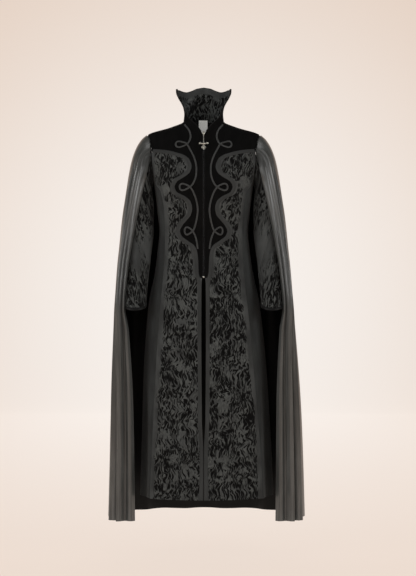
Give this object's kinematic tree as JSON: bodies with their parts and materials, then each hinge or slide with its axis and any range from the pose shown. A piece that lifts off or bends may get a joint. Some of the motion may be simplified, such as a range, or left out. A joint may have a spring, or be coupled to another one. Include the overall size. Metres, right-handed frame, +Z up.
{
  "type": "long caped zip coat, worn form",
  "caption": "Long charcoal and black zip coat held as worn: tall pointed collar, wavy velvet front with braid loops, and a floor-length cape hung from the armholes.",
  "frame": {"origin": "middle of the neck at shoulder height, where the wearer's shoulders hold the coat", "axes": "+Z up, -Y out of the coat's front, +X to the right of someone who looks at the front"},
  "size_m": [0.6655, 0.4515, 1.4579],
  "materials": {
    "velvet": "deep black cotton velvet, matt with a soft nap",
    "patterned_cloth": "charcoal embossed cloth with a glossy leaf pattern",
    "plain_cloth": "plain charcoal suiting, matt",
    "satin": "charcoal satin with a soft sheen",
    "lining": "black lining and binding, slight sheen",
    "band": "plain grey woven strip",
    "braid": "grey flat soutache braid with a centre groove",
    "zip": "black lacquered zip teeth, glossy",
    "silver": "antique silver plated zinc, worn bright on the edges",
    "label": "white woven label, left bare"
  },
  "bodies": {
    "garment": {"front_yoke_left": "velvet", "front_yoke_right": "velvet", "back_yoke": "velvet", "front_panel_left": "patterned_cloth", "front_panel_right": "patterned_cloth", "sleeve_left": "patterned_cloth", "sleeve_right": "patterned_cloth", "collar_left": "patterned_cloth", "collar_right": "patterned_cloth", "side_front_left": "plain_cloth", "side_front_right": "plain_cloth", "back_panel_left": "plain_cloth", "back_panel_right": "plain_cloth", "cape_left": "satin", "cape_right": "satin", "back_lining": "lining", "cuff_left": "lining", "cuff_right": "lining", "collar_edge_left": "lining", "collar_edge_right": "lining", "zip_tape_left": "lining", "zip_tape_right": "lining", "edge_band_left": "band", "edge_band_right": "band", "braid_left": "braid", "braid_right": "braid", "zip_chain": "zip", "zip_slider": "silver", "zip_stop": "silver", "neck_label": "label"},
    "pull_ring": {"pull_ring": "silver"},
    "pendant": {"pull_pendant": "silver"}
  },
  "joints": [
    {"name": "ring_swing", "type": "hinge", "parent": "garment", "child": "pull_ring", "pos_m": [0, -0.06964, -0.04118], "axis": [-1, 0, 0], "range_deg": [0, 90]},
    {"name": "pendant_swing", "type": "hinge", "parent": "pull_ring", "child": "pendant", "pos_m": [0, -0.07358, -0.04814], "axis": [-1, 0, 0], "range_deg": [0, 50]}
  ]
}
